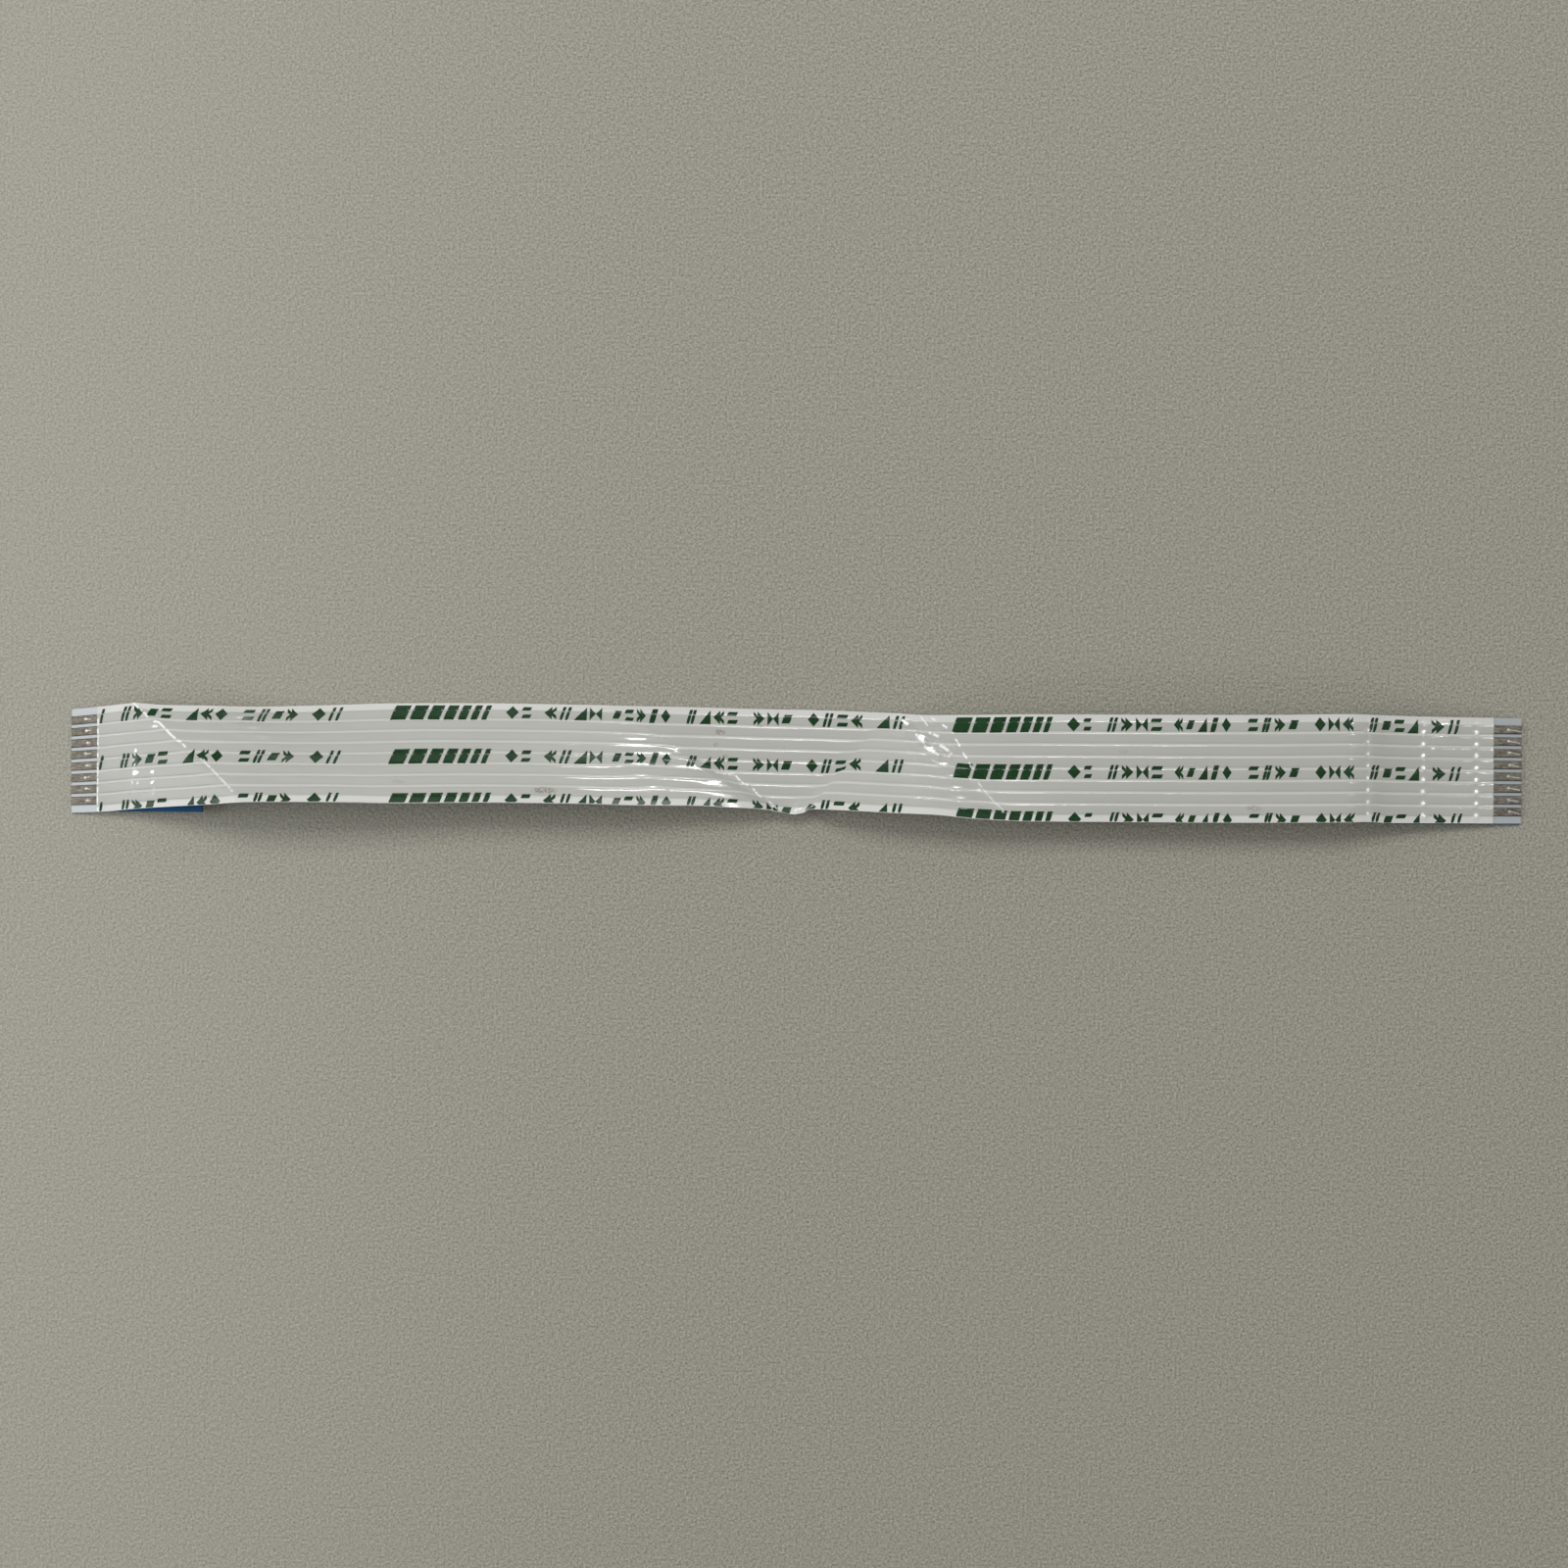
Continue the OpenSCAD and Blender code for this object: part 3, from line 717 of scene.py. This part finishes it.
def math_node(nt, op, a, b=None, c=None, clamp=False):
    n = nt.nodes.new("ShaderNodeMath")
    n.operation = op
    n.use_clamp = clamp
    for i, v in enumerate((a, b, c)):
        if v is None:
            continue
        if isinstance(v, bpy.types.NodeSocket):
            nt.links.new(v, n.inputs[i])
        else:
            n.inputs[i].default_value = v
    return n.outputs[0]


def ramp(nt, value, stops):
    n = nt.nodes.new("ShaderNodeValToRGB")
    nt.links.new(value, n.inputs["Fac"])
    e = n.color_ramp.elements
    while len(e) > 2:
        e.remove(e[-1])
    for i, (p, c) in enumerate(stops):
        el = e[i] if i < 2 else e.new(p)
        el.position = p
        el.color = (*c, 1)
    return n.outputs["Color"]


def mix(nt, a, b, f):
    n = nt.nodes.new("ShaderNodeMix")
    n.data_type = "RGBA"
    for key, v in ((6, a), (7, b), (0, f)):
        if isinstance(v, bpy.types.NodeSocket):
            nt.links.new(v, n.inputs[key])
        elif key == 0:
            n.inputs[key].default_value = v
        else:
            n.inputs[key].default_value = (*v, 1)
    return n.outputs[2]


def smooth(nt, value, a, b):
    """0 below a, 1 above b."""
    n = nt.nodes.new("ShaderNodeMapRange")
    n.interpolation_type = "SMOOTHSTEP"
    nt.links.new(value, n.inputs["Value"])
    n.inputs["From Min"].default_value = a
    n.inputs["From Max"].default_value = b
    return n.outputs["Result"]


def lay_of(nt):
    a = node(nt, "ShaderNodeAttribute", attribute_name="lay")
    s = node(nt, "ShaderNodeSeparateXYZ", {"Vector": a.outputs["Vector"]})
    return a.outputs["Vector"], s.outputs["X"], s.outputs["Y"], s.outputs["Z"]


def fold_white_and_highlight(nt, vec, rough=1.0):
    """White where a fold line or a whitened spot is: sharp, broken up along the line. The white is partly real
    whitening of creased film and partly painted highlight.
    """
    f = node(nt, "ShaderNodeAttribute", attribute_name="fold")
    p = node(nt, "ShaderNodeSeparateXYZ", {"Vector": f.outputs["Vector"]})
    wide = node(nt, "ShaderNodeAttribute", attribute_name="fold_wide").outputs["Fac"]
    ragged = node(nt, "ShaderNodeTexNoise", {"Scale": 7.0, "Detail": 3.0, "Roughness": 0.6, "Vector": vec}).outputs["Fac"]
    wob = math_node(nt, "MULTIPLY", math_node(nt, "SUBTRACT", ragged, 0.5), 0.16)
    dist = math_node(nt, "ABSOLUTE", math_node(nt, "ADD", p.outputs["X"], wob))
    rel = math_node(nt, "DIVIDE", dist, wide)
    line = math_node(nt, "SUBTRACT", 1.0, smooth(nt, rel, 0.55, 1.0))
    piece = node(nt, "ShaderNodeTexNoise", {"Scale": 2.6, "Detail": 2.0}, noise_dimensions="1D")
    nt.links.new(p.outputs["Y"], piece.inputs["W"])
    line = math_node(nt, "MULTIPLY", line, math_node(nt, "ADD", 0.25, math_node(
        nt, "MULTIPLY", smooth(nt, piece.outputs["Fac"], 0.36, 0.46), 0.75)))
    line = math_node(nt, "MULTIPLY", line, p.outputs["Z"])
    spot = node(nt, "ShaderNodeAttribute", attribute_name="crease_white_and_glint").outputs["Fac"]
    spot_whitening_and_glint = smooth(nt, math_node(nt, "ADD", spot, math_node(nt, "MULTIPLY", math_node(nt, "SUBTRACT", ragged, 0.5), 0.5)),
                   0.42, 0.62)
    faint = math_node(nt, "MULTIPLY", spot, 0.35)
    return math_node(nt, "MAXIMUM", line, math_node(nt, "MAXIMUM", spot_whitening_and_glint, faint)), ragged


def film_material(name, body, gap, margin, tips=None):
    """White laminated film: the conductors show through it as greyer bands."""
    m, nt, b = material(name)
    vec, x, v, z = lay_of(nt)
    # distance from the nearest conductor's middle, and how far out towards the edge
    frac = math_node(nt, "FRACT", math_node(nt, "ADD", v, 20.0))
    k = math_node(nt, "ABSOLUTE", math_node(nt, "SUBTRACT", frac, 0.5))
    out = math_node(nt, "ABSOLUTE", v)
    between = smooth(nt, k, 0.34, 0.42)
    edge = smooth(nt, out, 3.84, 3.95)
    # slow changes of tone, and long faint streaks along the cable
    slow = node(nt, "ShaderNodeTexNoise", {"Scale": 0.35, "Detail": 2.0,
                                           "Vector": node(nt, "ShaderNodeVectorMath", {0: vec, 1: (0.35, 1.0, 1.0)},
                                                          operation="MULTIPLY").outputs[0]}).outputs["Fac"]
    streak = node(nt, "ShaderNodeTexNoise", {"Scale": 1.0, "Detail": 3.0,
                                             "Vector": node(nt, "ShaderNodeVectorMath", {0: vec, 1: (0.25, 7.0, 1.0)},
                                                            operation="MULTIPLY").outputs[0]}).outputs["Fac"]
    grain = node(nt, "ShaderNodeTexNoise", {"Scale": 9.0, "Detail": 2.0, "Vector": vec}).outputs["Fac"]
    band = mix(nt, tuple(0.965 * c for c in body), tuple(min(1, 1.035 * c) for c in body), streak)
    col = mix(nt, band, gap, between)
    col = mix(nt, col, margin, edge)
    # painted shade: a darker hair line where the film dips beside each conductor
    dip_shade = math_node(nt, "MULTIPLY", smooth(nt, k, 0.3, 0.345),
                     math_node(nt, "SUBTRACT", 1.0, smooth(nt, k, 0.345, 0.385)))
    col = mix(nt, col, tuple(0.86 * c for c in body),
              math_node(nt, "MULTIPLY", dip_shade, math_node(nt, "SUBTRACT", 0.55, edge), clamp=True))
    tone = mix(nt, (0.93, 0.93, 0.925), (1.03, 1.03, 1.035), slow)
    mul = nt.nodes.new("ShaderNodeMix")
    mul.data_type = "RGBA"
    mul.blend_type = "MULTIPLY"
    mul.inputs[0].default_value = 1.0
    nt.links.new(col, mul.inputs[6])
    nt.links.new(tone, mul.inputs[7])
    col = mul.outputs[2]
    # grime: a few smudges and specks, most at the middle of the cable
    for sx, sv, rx, rv, dark, seed in ((-5.95, 2.4, 0.55, 0.3, 0.75, 1), (-20.6, -3.4, 1.3, 0.42, 0.75, 2),
                                       (-6.3, 1.3, 0.28, 0.2, 0.8, 3), (-5.5, 0.3, 0.3, 0.18, 0.7, 4),
                                       (38.9, -3.3, 0.8, 0.35, 0.45, 5), (-2.5, 3.0, 0.35, 0.16, 0.6, 6),
                                       (28.0, 1.4, 0.6, 0.25, 0.25, 7), (-33.0, -2.6, 0.7, 0.25, 0.25, 8)):
        dx = math_node(nt, "DIVIDE", math_node(nt, "SUBTRACT", x, sx), rx)
        dv = math_node(nt, "DIVIDE", math_node(nt, "SUBTRACT", v, sv), rv)
        q = math_node(nt, "ADD", math_node(nt, "MULTIPLY", dx, dx), math_node(nt, "MULTIPLY", dv, dv))
        fade = math_node(nt, "SUBTRACT", 1.0, smooth(nt, q, 0.1, 1.0))
        rough = node(nt, "ShaderNodeTexNoise", {"Scale": 5.0, "Detail": 3.0,
                                                "Vector": node(nt, "ShaderNodeVectorMath", {0: vec, 1: (seed * 3.1, 0, 0)},
                                                               operation="ADD").outputs[0]}).outputs["Fac"]
        f = math_node(nt, "MULTIPLY", math_node(nt, "MULTIPLY", fade, smooth(nt, rough, 0.38, 0.6)), dark)
        col = mix(nt, col, (0.19, 0.16, 0.12), f)
    # creases are whitened and scuffed: partly real whitening of the film and partly painted highlights where folds and
    # dots glint
    whitening_and_glint, _ = fold_white_and_highlight(nt, vec)
    col = mix(nt, col, (0.97, 0.975, 0.97), whitening_and_glint)
    if tips:
        # near the tips the stiffener below tints the thin film, less where it is loose
        end = smooth(nt, math_node(nt, "ABSOLUTE", x), HALF - 2.6, HALF - 2.35)
        col = mix(nt, col, mix(nt, tips[0], tips[1], smooth(nt, x, -1.0, 1.0)), end)
    else:
        # painted highlight along the cut edge at the -X end, broken up here and there
        cut = math_node(nt, "SUBTRACT", 1.0, smooth(nt, x, BARE0 + 0.06, BARE0 + 0.22))
        edge_highlight_breakup = node(nt, "ShaderNodeTexNoise", {"Scale": 2.2, "Detail": 2.0, "Vector": vec}).outputs["Fac"]
        col = mix(nt, col, (0.98, 0.98, 0.97), math_node(nt, "MULTIPLY", cut, smooth(nt, edge_highlight_breakup, 0.40, 0.52)))
    nt.links.new(col, b.inputs["Base Color"])
    r = node(nt, "ShaderNodeMapRange", {"Value": grain, "To Min": 0.09, "To Max": 0.15})
    nt.links.new(r.outputs["Result"], b.inputs["Roughness"])
    b.inputs["IOR"].default_value = 1.52
    # unevenness of the laminate
    ripple = node(nt, "ShaderNodeTexNoise", {"Scale": 1.6, "Detail": 3.0, "Roughness": 0.55,
                                             "Vector": node(nt, "ShaderNodeVectorMath", {0: vec, 1: (0.6, 1.6, 1.0)},
                                                            operation="MULTIPLY").outputs[0]}).outputs["Fac"]
    bump = node(nt, "ShaderNodeBump", {"Height": ripple, "Strength": 0.35, "Distance": 0.00002})
    nt.links.new(bump.outputs["Normal"], b.inputs["Normal"])
    return m


def ink_material():
    m, nt, b = material("green_ink")
    vec, x, v, z = lay_of(nt)
    n1 = node(nt, "ShaderNodeTexNoise", {"Scale": 0.9, "Detail": 3.0, "Vector": vec}).outputs["Fac"]
    n2 = node(nt, "ShaderNodeTexNoise", {"Scale": 9.0, "Detail": 3.0, "Vector": vec}).outputs["Fac"]
    col = ramp(nt, n1, [(0.3, (0.005, 0.036, 0.009)), (0.7, (0.010, 0.050, 0.015))])
    col = mix(nt, col, (0.05, 0.13, 0.07), math_node(nt, "MULTIPLY", smooth(nt, n2, 0.62, 0.75), 0.5))
    # creases whiten the ink too: partly real whitening and partly painted highlight
    whitening_and_glint, _ = fold_white_and_highlight(nt, vec)
    col = mix(nt, col, (0.85, 0.88, 0.85), whitening_and_glint)
    nt.links.new(col, b.inputs["Base Color"])
    r = node(nt, "ShaderNodeMapRange", {"Value": n2, "To Min": 0.2, "To Max": 0.32})
    nt.links.new(r.outputs["Result"], b.inputs["Roughness"])
    b.inputs["IOR"].default_value = 1.4
    return m


def tin_material():
    m, nt, b = material("tinned_copper")
    vec, x, v, z = lay_of(nt)
    b.inputs["Metallic"].default_value = 1.0
    long_ = node(nt, "ShaderNodeVectorMath", {0: vec, 1: (1.1, 16.0, 1.0)}, operation="MULTIPLY").outputs[0]
    scr = node(nt, "ShaderNodeTexNoise", {"Scale": 1.0, "Detail": 5.0, "Roughness": 0.7, "Vector": long_}).outputs["Fac"]
    blot = node(nt, "ShaderNodeTexNoise", {"Scale": 2.6, "Detail": 4.0, "Roughness": 0.6, "Vector": vec}).outputs["Fac"]
    col = ramp(nt, scr, [(0.3, (0.15, 0.137, 0.112)), (0.48, (0.33, 0.308, 0.262)), (0.6, (0.47, 0.445, 0.39)),
                         (0.72, (0.85, 0.83, 0.78))])
    dull = ramp(nt, blot, [(0.36, (0.6, 0.565, 0.5)), (0.6, (1.0, 1.0, 1.0))])
    mul = nt.nodes.new("ShaderNodeMix")
    mul.data_type = "RGBA"
    mul.blend_type = "MULTIPLY"
    mul.inputs[0].default_value = 1.0
    nt.links.new(col, mul.inputs[6])
    nt.links.new(dull, mul.inputs[7])
    # the long edges are darker
    frac = math_node(nt, "FRACT", math_node(nt, "ADD", v, 20.0))
    k = math_node(nt, "ABSOLUTE", math_node(nt, "SUBTRACT", frac, 0.5))
    col = mix(nt, mul.outputs[2], (0.035, 0.03, 0.024), math_node(nt, "MULTIPLY", smooth(nt, k, 0.27, 0.335), 0.85))
    mark = node(nt, "ShaderNodeAttribute", attribute_name="mark").outputs["Fac"]
    ragged = node(nt, "ShaderNodeTexNoise", {"Scale": 11.0, "Detail": 2.0, "Vector": vec}).outputs["Fac"]
    bright = smooth(nt, math_node(nt, "ADD", mark, math_node(nt, "MULTIPLY", math_node(nt, "SUBTRACT", ragged, 0.5), 0.9)),
                    0.38, 0.75)
    col = mix(nt, col, (0.96, 0.95, 0.92), bright)
    nt.links.new(col, b.inputs["Base Color"])
    r = node(nt, "ShaderNodeMapRange", {"Value": blot, "From Min": 0.3, "From Max": 0.7, "To Min": 0.3, "To Max": 0.48})
    nt.links.new(r.outputs["Result"], b.inputs["Roughness"])
    b.inputs["Anisotropic"].default_value = 0.4
    lumps = node(nt, "ShaderNodeTexNoise", {"Scale": 1.0, "Detail": 3.0,
                                            "Vector": node(nt, "ShaderNodeVectorMath", {0: vec, 1: (2.4, 4.5, 1.0)},
                                                           operation="MULTIPLY").outputs[0]}).outputs["Fac"]
    both = math_node(nt, "ADD", math_node(nt, "MULTIPLY", lumps, 1.0), math_node(nt, "MULTIPLY", scr, 0.25))
    bump = node(nt, "ShaderNodeBump", {"Height": both, "Strength": 0.8, "Distance": 0.00005})
    nt.links.new(bump.outputs["Normal"], b.inputs["Normal"])
    return m


def stiffener_material():
    m, nt, b = material("blue_stiffener")
    g = node(nt, "ShaderNodeTexCoord").outputs["Object"]
    n1 = node(nt, "ShaderNodeTexNoise", {"Scale": 350.0, "Detail": 3.0, "Vector": g}).outputs["Fac"]
    fine = node(nt, "ShaderNodeTexNoise", {"Scale": 4000.0, "Detail": 3.0, "Vector": g}).outputs["Fac"]
    scr = node(nt, "ShaderNodeTexNoise", {"Scale": 1.0, "Detail": 4.0,
                                          "Vector": node(nt, "ShaderNodeVectorMath", {0: g, 1: (300.0, 5200.0, 300.0)},
                                                         operation="MULTIPLY").outputs[0]}).outputs["Fac"]
    col = ramp(nt, n1, [(0.3, (0.006, 0.075, 0.19)), (0.7, (0.011, 0.10, 0.24))])
    col = mix(nt, col, (0.07, 0.19, 0.36), math_node(nt, "MULTIPLY", smooth(nt, scr, 0.66, 0.8), 0.3))
    nt.links.new(col, b.inputs["Base Color"])
    r = node(nt, "ShaderNodeMapRange", {"Value": fine, "To Min": 0.35, "To Max": 0.5})
    nt.links.new(r.outputs["Result"], b.inputs["Roughness"])
    b.inputs["IOR"].default_value = 1.28
    bump = node(nt, "ShaderNodeBump", {"Height": fine, "Strength": 0.3, "Distance": 0.00001})
    nt.links.new(bump.outputs["Normal"], b.inputs["Normal"])
    return m


white_top = film_material("film_white", (0.495, 0.50, 0.472), (0.635, 0.64, 0.615), (0.70, 0.705, 0.685))
white_low = film_material("film_white_lower", (0.50, 0.505, 0.48), (0.635, 0.64, 0.62), (0.67, 0.68, 0.67),
                          tips=((0.58, 0.62, 0.645), (0.43, 0.465, 0.49)))
green = ink_material()
tin = tin_material()
blue = stiffener_material()

top_film.data.materials.append(white_top)
bottom_film.data.materials.append(white_low)
ink.data.materials.append(green)
for ob in conductors:
    ob.data.materials.append(tin)
for name in ("left_stiffener", "right_stiffener"):
    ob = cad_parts[name]
    ob.data.materials.clear()
    ob.data.materials.append(blue)

# --------------------------------------------------------------------------
# Camera, as the photograph was taken: from above, a little to the right.
# --------------------------------------------------------------------------
g, tau = math.radians(0.387), math.radians(1.2)
r0, d0, f0 = (np.array([math.cos(g), math.sin(g), 0]), np.array([math.sin(g), -math.cos(g), 0]),
              np.array([0, 0, -1.0]))
fwd = f0 * math.cos(tau) - r0 * math.sin(tau)
right = r0 * math.cos(tau) + f0 * math.sin(tau)
up = -d0
eye = np.array([2.3736, -1.859, 135.2]) * MM
data = bpy.data.cameras.new("camera")
data.sensor_width = 36.0
data.lens = 36.0 * 1605 / 1600
data.clip_start, data.clip_end = 0.005, 20.0
cam = bpy.data.objects.new("camera", data)
cam.matrix_world = Matrix([[right[i], up[i], -fwd[i], eye[i]] for i in range(3)] + [[0, 0, 0, 1]])
scene.collection.objects.link(cam)
scene.camera = cam

# --------------------------------------------------------------------------
# Floor and light
# --------------------------------------------------------------------------
def floor_object():
    n = 2
    s = 1.5
    me = bpy.data.meshes.new("floor")
    me.from_pydata([(-s, -s, 0), (s, -s, 0), (s, s, 0), (-s, s, 0)], [], [(0, 1, 2, 3)])
    ob = bpy.data.objects.new("floor", me)
    scene.collection.objects.link(ob)
    m, nt, b = material("pale_floor")
    gco = node(nt, "ShaderNodeTexCoord").outputs["Object"]
    grain = node(nt, "ShaderNodeTexNoise", {"Scale": 5200.0, "Detail": 2.0, "Roughness": 0.6, "Vector": gco}).outputs["Fac"]
    col = ramp(nt, grain, [(0.3, (0.215, 0.208, 0.171)), (0.7, (0.46, 0.449, 0.382))])
    # painted light: the table top is painted a little paler towards the -X side, where more light falls
    across = node(nt, "ShaderNodeSeparateXYZ", {0: gco}).outputs[0]
    col = mix(nt, col, (0.62, 0.615, 0.54), math_node(nt, "MULTIPLY", smooth(nt, across, 0.0, -0.07), 0.16))
    nt.links.new(col, b.inputs["Base Color"])
    b.inputs["Roughness"].default_value = 0.6
    pebble = node(nt, "ShaderNodeTexNoise", {"Scale": 3200.0, "Detail": 2.0, "Vector": gco}).outputs["Fac"]
    bump = node(nt, "ShaderNodeBump", {"Height": pebble, "Strength": 0.8, "Distance": 0.00015})
    nt.links.new(bump.outputs["Normal"], b.inputs["Normal"])
    me.materials.append(m)
    return ob


floor = floor_object()
floor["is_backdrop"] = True


def panel(name, towards, size, level, colour=(1, 1, 1), diffuse=True, glossy=True, distance=1.4):
    """A light in that direction from the cable, turned to it. Level is what it gives
    on a face turned to it (diffuse), or how bright it looks in a reflection."""
    d = Vector(towards).normalized()
    light = bpy.data.lights.new(name, "AREA")
    light.shape = "RECTANGLE"
    light.size, light.size_y = size
    light.energy = (math.pi * distance**2 * level if diffuse else math.pi * size[0] * size[1] * level)
    light.color = colour
    ob = bpy.data.objects.new(name, light)
    ob.location = d * distance
    ob.rotation_mode = "QUATERNION"
    ob.rotation_quaternion = (-d).to_track_quat("-Z", "Y")
    ob.visible_camera = False
    ob.visible_diffuse = diffuse
    ob.visible_glossy = glossy
    scene.collection.objects.link(ob)
    return ob


# Soft light for the surfaces: from behind the cable, a window on the left, and a fill.
panel("key", (0.0, 0.60, 0.80), (0.29, 0.29), 1.45, (1.0, 0.99, 0.965), glossy=False, distance=0.8)
panel("window", (-0.84, 0.03, 0.54), (0.22, 0.22), 1.05, (0.98, 0.99, 1.0), glossy=False, distance=0.5)
panel("fill", (0.15, -0.8, 0.58), (0.4, 0.4), 0.24, (1.0, 0.99, 0.97), glossy=False)
# What the film and the tin mirror: the window's soft glow, and three small lamps.
panel("window_glow", (-0.75, 0.0, 0.66), (0.95, 0.9), 0.9, (0.98, 0.99, 1.0), diffuse=False)
panel("back_glow", (-0.1, 0.76, 0.64), (0.8, 0.5), 0.5, (1.0, 1.0, 0.98), diffuse=False)
panel("lamp_left", (-0.903, 0.0, 0.43), (0.07, 0.07), 60.0, diffuse=False)
panel("lamp_back", (0.10, 0.872, 0.48), (0.45, 0.07), 60.0, diffuse=False)
panel("lamp_right", (0.58, 0.19, 0.79), (0.07, 0.07), 50.0, diffuse=False)

world = bpy.data.worlds.new("room")
scene.world = world
world.use_nodes = True
bg = world.node_tree.nodes["Background"]
bg.inputs["Color"].default_value = (1.0, 0.99, 0.965, 1)
bg.inputs["Strength"].default_value = 0.29
scene.view_settings.view_transform = "Standard"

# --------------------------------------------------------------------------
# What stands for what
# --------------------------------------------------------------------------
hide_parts("top_film")
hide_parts("bottom_film")
for k, ob in enumerate(conductors):
    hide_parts("conductor_%d" % (k + 1))
    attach(ob, "root")
for ob in (top_film, bottom_film, ink):
    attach(ob, "root")

for b, w in ((cad_box, "cad"), (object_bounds(), "visual")):
    print("BOX", w, [round(float(c), 5) for p in b for c in p])
